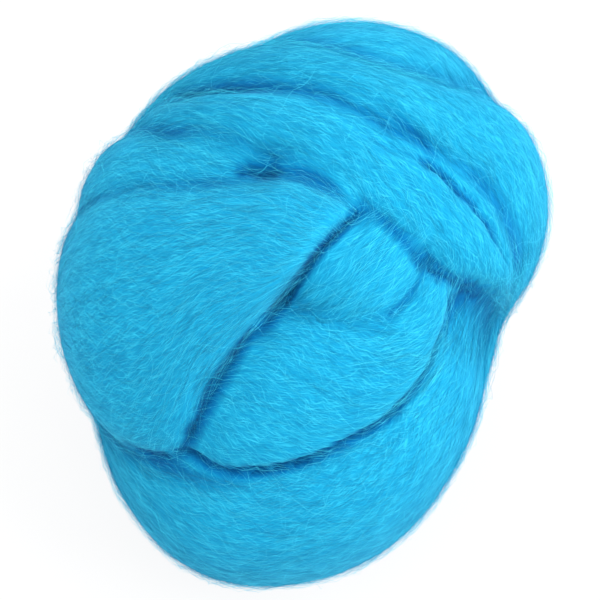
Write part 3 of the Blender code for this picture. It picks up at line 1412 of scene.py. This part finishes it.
@dataclass
class BandTurn:
    """One turn of the band as a closed mesh, with its relief and its strand coordinates.

    Past the strip's edges the strand coordinates run on over its hidden sides and sole, by their widths.
    """

    laid: LaidTurn
    egg: Egg
    seed: float
    lock_relief: float = 0.22
    lock_size: tuple = (55.0, 6.0)
    wisp_relief: float = 0.05
    wisp_size: tuple = (30.0, 2.2)
    wisp_seed: float = 7.0
    side_width: float = 7.0
    sole_width: float = 33.0

    def build(self, pressed: PressedBall, others: BVHTree, finish: bpy.types.Material) -> bpy.types.Object:
        """Builds the turn's piece.

        Args:
            pressed: The ball that the turn is pressed into.
            others: The outer surface of the other turns.
            finish: The finish it gets.

        Returns:
            The piece.
        """
        height, open_share, valley = pressed.press(self.laid, others)
        relief = self.lock_relief * grain(self.laid.strand, self.lock_size, self.seed)
        relief += self.wisp_relief * grain(self.laid.strand, self.wisp_size, self.seed + self.wisp_seed)
        height = height + relief
        rows, columns = height.shape
        upper = self.egg.points(self.laid.towards, height)
        rings = np.concatenate([upper, self.laid.soles], axis=1)
        ring = columns + 2
        faces, strands, spots = self.skin(rows, ring)
        mesh = bpy.data.meshes.new(self.laid.turn.name)
        mesh.from_pydata(self.egg.placed(rings).reshape(-1, 3).tolist(), [], faces)
        strand_values(mesh, strands)
        layer = mesh.uv_layers.new(name=BAKE_MAP)
        layer.uv.foreach_set("vector", spots.astype(np.float32).ravel())
        padded = [np.pad(values, ((0, 0), (0, 2))) for values in (open_share, valley)]
        point_values(mesh, OPEN, padded[0])
        point_values(mesh, VALLEY_SHADE_MASK, padded[1])
        mesh.shade_smooth()
        mesh.materials.append(finish)
        mesh.validate()
        outward(mesh)
        piece = bpy.data.objects.new(self.laid.turn.name, mesh)
        bpy.context.scene.collection.objects.link(piece)
        return piece

    def skin(self, rows: int, ring: int) -> tuple[list, np.ndarray, np.ndarray]:
        """The faces round the turn, and what each of their corners holds.

        Args:
            rows: How many rings of points there are.
            ring: How many points each ring has.

        Returns:
            The faces, their corners' strand coordinates, and their places on the bake map.
        """
        upper = ring - 2
        closed = self.laid.closed
        spans = rows if closed else rows - 1
        half = self.laid.width / 2
        under = half + np.cumsum([self.side_width, self.sole_width, self.side_width])
        strand = np.zeros((rows + 1, ring + 1, 2))
        strand[:rows, :upper] = self.laid.strand
        strand[rows, :upper] = self.laid.strand[0] + (self.laid.length, 0)
        strand[:, upper:, 0] = strand[:, :1, 0]
        strand[:, upper:, 1] = under
        offsets = np.concatenate([-np.cos(np.linspace(0, math.pi, upper)) * half, under])
        spot = np.zeros((rows + 1, ring + 1, 2))
        spot[..., 0] = np.linspace(0, 1, rows + 1)[:, None]
        spot[..., 1] = (offsets + half) / (under[-1] + half)
        i, j = np.meshgrid(np.arange(spans), np.arange(ring), indexing="ij")
        corners = [(i, j), (i, j + 1), (i + 1, j + 1), (i + 1, j)]
        faces = np.stack([a % rows * ring + b % ring for a, b in corners], axis=-1).reshape(-1, 4).tolist()
        strands = np.stack([strand[a, b] for a, b in corners], axis=2).reshape(-1, 2)
        spots = np.stack([spot[a, b] for a, b in corners], axis=2).reshape(-1, 2)
        if not closed:
            for row in (0, rows - 1):
                cap = np.arange(ring) + row * ring
                faces.append((cap if row else cap[::-1]).tolist())
                order = np.arange(ring) if row else np.arange(ring)[::-1]
                strands = np.concatenate([strands, strand[row, order]])
                spots = np.concatenate([spots, spot[row, order]])
        return faces, strands, spots

    def field(self) -> StrandField:
        """Finds the range of the turn's strand coordinates.

        Returns:
            The range.
        """
        along, across = self.laid.strand[..., 0], self.laid.strand[..., 1]
        start, end = (0.0, self.laid.length) if self.laid.closed else (along.min(), along.max())
        return StrandField(start, end, across.min(), across.max(), self.laid.closed)


def outward(mesh: bpy.types.Mesh) -> None:
    """Turns a closed mesh's faces outwards if they point inwards.

    Args:
        mesh: The mesh.
    """
    work = bmesh.new()
    work.from_mesh(mesh)
    if work.calc_volume(signed=True) < 0:
        bmesh.ops.reverse_faces(work, faces=work.faces)
        work.to_mesh(mesh)
    work.free()


@dataclass
class LooseCoat:
    """The hairs that stand off the ball, grown on one half of its smoothed outside.

    The side is 1 for the half with the wound face and -1 for the back. The halves overlap a little, and the
    hairs start no lower in a valley than its floor.
    """

    name: str
    side: int
    pressed: PressedBall
    overlap: float = 0.04
    valley_floor: float = 0.5

    def surface(self) -> bpy.types.Mesh:
        """The half of the outside that carries the hairs, never shown itself.

        Returns:
            Its mesh, with equal-area strand coordinates.
        """
        ball = self.pressed
        egg = ball.egg
        kept = ball.faces[(ball.towards[ball.faces][..., 2] * self.side > -self.overlap).all(axis=1)]
        used, numbers = np.unique(kept, return_inverse=True)
        towards = ball.towards[used]
        height = np.maximum(ball.height[used], ball.filled[used] - self.valley_floor)
        lower = 1 + towards[:, 2] * self.side
        chart = towards[:, :2] * np.sqrt(2 / lower)[:, None] * self.radius
        mesh = bpy.data.meshes.new(self.name + "_surface")
        faces = numbers.reshape(-1, 3)
        mesh.from_pydata(egg.placed(egg.points(towards, height)).tolist(), [], faces.tolist())
        strand_values(mesh, chart[faces.ravel()])
        point_values(mesh, OPEN, np.ones(len(used)))
        point_values(mesh, VALLEY_SHADE_MASK, np.zeros(len(used)))
        return mesh

    @property
    def radius(self) -> float:
        """The mean radius of the ball."""
        return (self.pressed.egg.width + self.pressed.egg.length + self.pressed.egg.depth) / 6

    def field(self) -> StrandField:
        """The square around the half's strand coordinates."""
        edge = self.radius * math.sqrt(2)
        return StrandField(-edge, edge, -edge, edge)


# ---------------------------------------------------------------- studio


class Lamp(NamedTuple):
    """One soft lamp: where its light comes from, its energy, and its angle in degrees."""

    source: tuple
    energy: float
    angle: float


@dataclass(frozen=True)
class Studio:
    """The floor, the lights and the camera.

    The floor is darker than it looks and glows a little of its own, so that it ends just at white and leaves
    the pale hairs in front of it to be seen. Sizes are in metres, the lens's in millimetres.
    """

    lens: float = 100.0
    sensor: float = 36.0
    distance: float = 0.44
    shift_x: float = 2 / 600
    shift_y: float = -4 / 600
    floor_size: float = 6.0
    floor_colour: Colour = (0.11, 0.11, 0.11, 1.0)
    floor_roughness: float = 0.9
    floor_glow: float = 0.85
    white: Colour = (1.0, 1.0, 1.0, 1.0)
    sky: float = 1.22
    lamps: tuple = (Lamp((0.90, -0.05, 0.60), 2.8, 50.0), Lamp((-0.2, 0.0, 1.0), 0.80, 80.0))

    def floor(self) -> None:
        """Lays the pale floor."""
        mesh = bpy.data.meshes.new("floor")
        half = self.floor_size / 2
        corners = [(-half, -half, 0), (half, -half, 0), (half, half, 0), (-half, half, 0)]
        mesh.from_pydata(corners, [], [(0, 1, 2, 3)])
        material = bpy.data.materials.new("pale_floor")
        material.use_nodes = True
        shader = material.node_tree.nodes["Principled BSDF"]
        shader.inputs["Base Color"].default_value = self.floor_colour
        shader.inputs["Roughness"].default_value = self.floor_roughness
        shader.inputs["Specular IOR Level"].default_value = 0.0
        shader.inputs["Emission Color"].default_value = self.white
        shader.inputs["Emission Strength"].default_value = self.floor_glow
        mesh.materials.append(material)
        floor = bpy.data.objects.new("floor", mesh)
        bpy.context.scene.collection.objects.link(floor)

    def light(self) -> None:
        """Sets an even pale sky and the soft lamps."""
        world = bpy.data.worlds.new("studio")
        world.use_nodes = True
        sky = world.node_tree.nodes["Background"]
        sky.inputs["Color"].default_value = self.white
        sky.inputs["Strength"].default_value = self.sky
        bpy.context.scene.world = world
        for number, lamp in enumerate(self.lamps):
            light = bpy.data.lights.new(f"lamp_{number}", "SUN")
            light.energy = lamp.energy
            light.angle = math.radians(lamp.angle)
            holder = bpy.data.objects.new(f"lamp_{number}", light)
            holder.rotation_euler = Vector(lamp.source).to_track_quat("Z", "Y").to_euler()
            bpy.context.scene.collection.objects.link(holder)

    def camera(self, egg: Egg) -> None:
        """Places the camera square to the ball's wound face.

        Args:
            egg: The ball's egg, whose centre the camera looks at.
        """
        lens = bpy.data.cameras.new("camera")
        lens.lens = self.lens
        lens.sensor_width = self.sensor
        lens.shift_x = self.shift_x
        lens.shift_y = self.shift_y
        lens.dof.use_dof = False
        camera = bpy.data.objects.new("camera", lens)
        tilt = math.radians(egg.face_tilt)
        away = Vector((0.0, -math.cos(tilt), math.sin(tilt)))
        centre = Vector((egg.centre_x, egg.centre_y, egg.rest_depth)) * MM
        turned = away.to_track_quat("Z", "Y").to_matrix().to_4x4()
        camera.matrix_world = Matrix.Translation(centre + away * self.distance) @ turned
        bpy.context.scene.collection.objects.link(camera)
        bpy.context.scene.camera = camera
        bpy.context.scene.view_settings.view_transform = "Standard"


# ---------------------------------------------------------------- this ball

RIM_TURN = Turn("rim_turn", Ends.JOINED, depth=15.0, start_roll=0.0, end_roll=0.0, softness=0.55, rows=(
    Row(170, 106, 170, 74, -10),
    Row(145, 110, 145, 76, -9),
    Row(120, 114, 118, 74, -8),
    Row(98, 116, 96, 66, -5),
    Row(75, 117, 76, 60, -2),
    Row(52, 115, 52, 58, 0),
    Row(34, 110, 34, 56, -6),
    Row(16, 104, 16, 54, -11),
    Row(0, 100, 0, 44, -12, -8),
    Row(345, 102, 346, 37, -9.5, -6),
    Row(330, 103, 331, 36, -5, -4),
    Row(311, 104, 312, 36, -1.3, -3),
    Row(290, 104, 290, 39, 1.8),
    Row(270, 104, 270, 43, 2),
    Row(250, 104, 250, 50, 1),
    Row(232, 104, 233, 55, -3),
    Row(214, 103, 216, 62, -7),
    Row(196, 102, 196, 70, -10),
), strokes=(
    Stroke(230, 65, -20, 20),
    Stroke(10, 60, -35, 20),
    Stroke(330, 80, -20, 20),
    Stroke(200, 80, -35, 20),
    Stroke(270, 50, 5, 10),
    Stroke(55, 70, 15, 15),
    Stroke(20, 65, -35, 20),
    Stroke(285, 80, 5, 20),
))

MAIN_TURN = Turn("main_turn", Ends.JOINED, depth=15.0, start_roll=0.0, end_roll=0.0, softness=0.75, rows=(
    Row(182, 124, 188, 92, -9),
    Row(160, 116, 165, 90, -8),
    Row(138, 106, 128, 80, -1),
    Row(118, 100, 114, 68, -2),
    Row(104, 88, 104, 59, -3),
    Row(93, 77, 93, 53, -2),
    Row(82, 70, 84, 51, -1.5),
    Row(69, 67, 71, 47, -1),
    Row(55, 71, 57, 47, 0.5),
    Row(44, 84, 44, 49, 2.5),
    Row(33, 100, 33, 54, 4),
    Row(19, 107, 20, 60, 3),
    Row(4, 113, 7, 68, -1.2),
    Row(348, 119, 356, 75, -7),
    Row(330, 126, 342, 82, -5.5),
    Row(308, 134, 320, 88, -3),
    Row(282, 139, 292, 90, -3),
    Row(254, 140, 262, 91, -3),
    Row(228, 138, 234, 92, -3),
    Row(204, 132, 210, 92, -5),
), strokes=(
    Stroke(45, 70, 35, 20),
    Stroke(0, 90, -35, 20),
    Stroke(60, 60, 20, 15),
    Stroke(110, 80, -20, 15),
    Stroke(35, 85, 5, 20),
))

LOWER_TURN = Turn("lower_turn", Ends.TUCKED, depth=13, start_roll=10, end_roll=14, softness=0.75, rows=(
    Row(150, 132, 162, 124, -9),
    Row(140, 120, 153, 111, -5),
    Row(133, 105, 146, 96, -2),
    Row(127, 88, 138, 80, -1.5),
    Row(119, 74, 130, 65, -2),
    Row(110, 65, 118, 51, -2),
    Row(99, 59, 107, 40, -2),
    Row(86, 55, 89, 33, -1.5),
    Row(73, 52, 67, 28, -1),
    Row(60, 51, 47, 26, -1),
    Row(48, 54, 28, 31, -1),
    Row(37, 58, 15, 37, -1),
    Row(26, 63, 8, 44, -1),
    Row(15, 68, 4, 52, -1.5),
    Row(6, 75, 1, 61, -3.5),
    Row(359, 88, 356, 75, -7.5),
    Row(352, 102, 349, 90, -9),
), strokes=(
    Stroke(355, 80, -35, 20),
    Stroke(135, 75, -35, 20),
    Stroke(355, 95, -35, 20),
    Stroke(50, 55, 15, 15),
    Stroke(110, 60, -15, 10),
    Stroke(20, 35, -15, 5),
))

FRONT_TURN = Turn("front_turn", Ends.TUCKED, depth=15.0, start_roll=8.0, end_roll=14.0, softness=0.3, rows=(
    Row(52, 30, 130, 4, 0.5),
    Row(69, 31, 208, 8, 1),
    Row(87, 34, 224, 23, 1.5),
    Row(106, 36, 230, 38, 1.5),
    Row(127, 46, 236, 54, 1.5),
    Row(141, 62, 227, 68, 1.5, 3.5),
    Row(150, 78, 215, 80, 0.5, 8),
    Row(155, 92, 208, 94, 0, 9.5),
    Row(149, 104, 204, 112, 0, 4),
    Row(135, 109, 198, 130, 0),
    Row(113, 110, 188, 150, 0),
    Row(90, 109, 90, 179, 0),
    Row(65, 107, 352, 150, -0.5),
    Row(46, 104, 344, 128, -2),
    Row(32, 98, 345, 108, -8),
), strokes=(
    Stroke(130, 15, -25, 20),
    Stroke(150, 75, 30, 20),
    Stroke(220, 70, -15, 20),
    Stroke(135, 10, -20, 10),
    Stroke(100, 30, -5, 20),
    Stroke(190, 40, -5, 10),
))

UNDER_TURN = Turn("under_turn", Ends.TUCKED, depth=12.0, start_roll=8.0, end_roll=8.0, softness=0.75, rows=(
    Row(149, 122, 174, 116, -8),
    Row(143, 110, 170, 104, -2),
    Row(137, 96, 166, 90, 2),
    Row(132, 77, 160, 72, 1),
    Row(124, 63, 152, 50, -3),
    Row(110, 56, 138, 36, -4.5),
    Row(100, 48, 118, 26, -6),
    Row(86, 38, 90, 20, -9),
), strokes=(
    Stroke(125, 50, 30, 15),
    Stroke(130, 70, -10, 20),
    Stroke(135, 35, -10, 15),
    Stroke(105, 45, 25, 5),
))

BACK_TURN = Turn("back_turn", Ends.TUCKED, depth=14.0, start_roll=8.0, end_roll=8.0, softness=0.5, rows=(
    Row(124, 94, 182, 94, -10),
    Row(121, 117, 190, 115, -5),
    Row(106, 141, 212, 130, -3),
    Row(60, 154, 248, 137, -2.5),
    Row(14, 141, 280, 134, -2.5),
    Row(359, 117, 301, 117, -4),
    Row(356, 94, 306, 98, -10),
))

INNER_TURN = Turn("inner_turn", Ends.TUCKED, depth=10.0, start_roll=10.0, end_roll=10.0, softness=0.6, rows=(
    Row(198, 26, 216, 72, -9),
    Row(192, 14, 230, 66, -6),
    Row(20, 4, 246, 62, -4.5),
    Row(10, 12, 263, 59, -4),
    Row(3, 22, 281, 56, -4),
    Row(358, 33, 301, 53, -4.5),
    Row(354, 42, 320, 50, -6),
    Row(350, 50, 336, 52, -9),
), strokes=(
    Stroke(280, 20, 25, 20),
    Stroke(325, 30, 20, 10),
    Stroke(235, 50, 15, 10),
    Stroke(340, 45, -35, 5),
    Stroke(275, 30, 5, 5),
))

INNER_FOLD = Turn("inner_fold", Ends.TUCKED, depth=9.0, start_roll=16.0, end_roll=10.0, softness=0.9, rows=(
    Row(184, 8, 324, 21, -5),
    Row(126, 7, 337, 25, -4),
    Row(88, 12, 349, 28, -3),
    Row(74, 19, 356, 32, -3),
    Row(63, 27, 4, 36, -3.5),
    Row(55, 35, 13, 41, -5),
    Row(49, 43, 19, 48, -9),
), strokes=(
    Stroke(315, 5, 10, 20),
    Stroke(75, 20, 30, 5),
))

INNER_SIDE = Turn("inner_side", Ends.TUCKED, depth=9.0, start_roll=22.0, end_roll=8.0, softness=0.9, rows=(
    Row(296, 22, 298, 42, -6),
    Row(326, 20, 320, 45, -4.5),
    Row(352, 24, 340, 46, -4),
    Row(5, 31, 353, 48, -5),
    Row(14, 36, 3, 50, -6),
    Row(20, 40, 9, 53, -9),
), strokes=(
    Stroke(325, 40, 35, 15),
))

TURNS = (
    RIM_TURN,
    MAIN_TURN,
    LOWER_TURN,
    FRONT_TURN,
    UNDER_TURN,
    BACK_TURN,
    INNER_TURN,
    INNER_FOLD,
    INNER_SIDE,
)

PARTINGS = (
    # Between the front turn's edge and the window of inner turns, from the knot down to the rim turn.
    Parting(
        ((54.5, 27), (58, 20.5), (66, 13), (82, 5.5), (184.5, 3.5), (216.5, 11.5), (221.5, 19)), 2.6, 0.9
    ),
    Parting(((216.5, 11.5), (221.5, 19), (225.5, 27.5), (229, 36), (232.5, 43.5), (234.5, 51)), 1.8, 0.9),
    # Between the window and the rim turn, from the right round to the left.
    Parting(((4.5, 44), (357, 46), (349, 46), (342.5, 45), (331, 44), (317.5, 42.5), (303.5, 42)), 2.3, 0.9),
    Parting(((317.5, 42.5), (303.5, 42), (290, 41.5), (270.5, 44.5), (255, 48.5), (247, 51)), 2.1, 0.8),
    Parting(((277, 43), (270.5, 44.5), (255, 48.5), (247, 51), (241, 52), (235, 51.5)), 1.8, 0.7),
    # Between the front turn's foot and the rim turn, with the pit at its corner.
    Parting(((247, 51), (235, 51.5), (230.5, 57), (225, 61.5), (219, 64)), 1.2, 0.9),
    Parting(((229, 43), (232.5, 48), (235, 51.5), (240, 52.5)), 1.8, 1.1),
    # Under the main turn's lower border, over the window.
    Parting(((55, 27.5), (47, 28.5), (37.5, 30), (26.5, 32.5), (16, 35.5), (11, 39), (5, 44)), 1.1, 1.2),
    # Between the lower turn and the main turn, shallow at the left and sharp at the right.
    Parting(((125, 81.5), (118.5, 64.5), (109.5, 56.5), (99, 51.5), (89.5, 47.5), (75, 44.5)), 0.5, 0.7),
    Parting(((75, 44.5), (60.5, 43), (48.5, 45.5), (40, 48.5), (31, 51.5)), 0.9, 0.7),
    Parting(((48.5, 45.5), (40, 48.5), (34, 49), (26.5, 52.5), (20, 55), (14, 58.5), (9, 62)), 3.2, 0.6),
    # Shallow folds in the main turn, in the lower turn and in the window's upper layer.
    Parting(((79.5, 55), (68, 53), (58.5, 51), (51.5, 50.5), (44, 49)), 0.6, 0.8),
    Parting(((51, 40), (44, 39), (35.5, 40), (27.5, 40.5), (23, 40.5)), 0.8, 0.6),
    Parting(((10.5, 36.5), (5.5, 33.5), (357, 30), (349.5, 26.5), (342.5, 24)), 0.6, 0.8),
    # The wedge over the front turn's upper edge, the thin line along it, and the wool puffed up over that.
    Parting(((118, 38), (110.5, 37), (106, 35), (97, 34)), 1.6, 1.2),
    Parting(((106, 35), (93.5, 33.5), (80.5, 31), (66, 28.5)), 0.4, 0.7),
    Parting(((99, 35.5), (91, 35), (80, 33), (67, 30.5), (57, 28.5)), -0.9, 2.2),
    # The knot at the right, where four turns meet, and the line that leaves it.
    Parting(((16, 37), (11, 40), (7.5, 43), (3, 52.5), (0, 59.5), (356.5, 72.5)), 0.9, 0.8),
    Parting(((22, 34.5), (16, 37), (11, 40), (7.5, 43), (4, 49)), 1.3, 1.3),
)

FELTINGS = (
    # The sharp crease at the right, and where it starts.
    Felting(((44, 47), (34, 49), (26.5, 52.5), (20, 55), (14, 58.5), (9, 62), (4, 67.5)), 0.85, 4),
    Felting(((80, 45), (75, 44.5), (60.5, 43), (50, 45)), 0.93, 4),
    # The border of the window's upper layer.
    Felting(((250, 3), (305, 3.5), (328, 8.5), (335, 14), (340.5, 19), (345, 24)), 0.97, 4),
    # The knot, the run above the front turn's edge, and the shallow crease at the left.
    Felting(((14, 38.5), (11, 40), (7.5, 43), (3, 52.5), (0, 59.5), (356.5, 72.5)), 1.0, 6),
    Felting(((96, 34), (88, 32.5), (80.5, 31), (70, 29.5), (60, 28)), 0.95, 5),
    Felting(((125, 81.5), (118.5, 64.5), (109.5, 56.5), (99, 51.5), (89.5, 47.5), (75, 44.5)), 0.95, 5),
)


def loose_coats(pressed: PressedBall, hairs: HairTree) -> list[bpy.types.Object]:
    """Grows the loose hairs on both halves of the ball.

    Args:
        pressed: The ball's outside.
        hairs: The tree that grows them.

    Returns:
        The new pieces.
    """
    pieces = []
    for name, side in (("face", 1), ("back", -1)):
        coat = LooseCoat(name, side, pressed)
        surface = coat.surface()
        for kind in (HairKind.STRAY, HairKind.DOWN):
            label = f"{name}_{kind.name.lower()}_hairs"
            pieces.append(hairs.grow(label, surface, kind, coat.field(), COAT_SEED + side))
    return pieces


def main() -> None:
    """Builds the ball's pieces in order and sets the studio."""
    logging.basicConfig(level=logging.INFO, format="%(name)s %(message)s")
    egg = Egg()
    laid = [turn.lay(egg) for turn in TURNS]
    pressed = PressedBall(egg, laid, PARTINGS, FELTINGS)
    log.info("pressed ball: %d points", len(pressed.towards))
    packed_finish = CombedWool().material()
    hairs = HairTree(LooseWool().material())
    for number, turn in enumerate(laid):
        others = search_tree(other.tree(egg) for other in laid if other is not turn)
        band = BandTurn(turn, egg, BAND_SEED + BAND_SEED_STEP * number)
        name, field = turn.turn.name, band.field()
        piece = band.build(pressed, others, packed_finish)
        fibres = hairs.grow(name + "_fibres", piece.data, HairKind.LAID, field, number)
        fuzz = hairs.grow(name + "_fuzz", piece.data, HairKind.FUZZ, field, FUZZ_SEED + number)
        settle(piece)
        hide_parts(NODE)
        settle(fibres)
        settle(fuzz)
    for piece in loose_coats(pressed, hairs):
        settle(piece)
    studio = Studio()
    studio.floor()
    studio.light()
    studio.camera(egg)


if __name__ == "__main__":
    main()
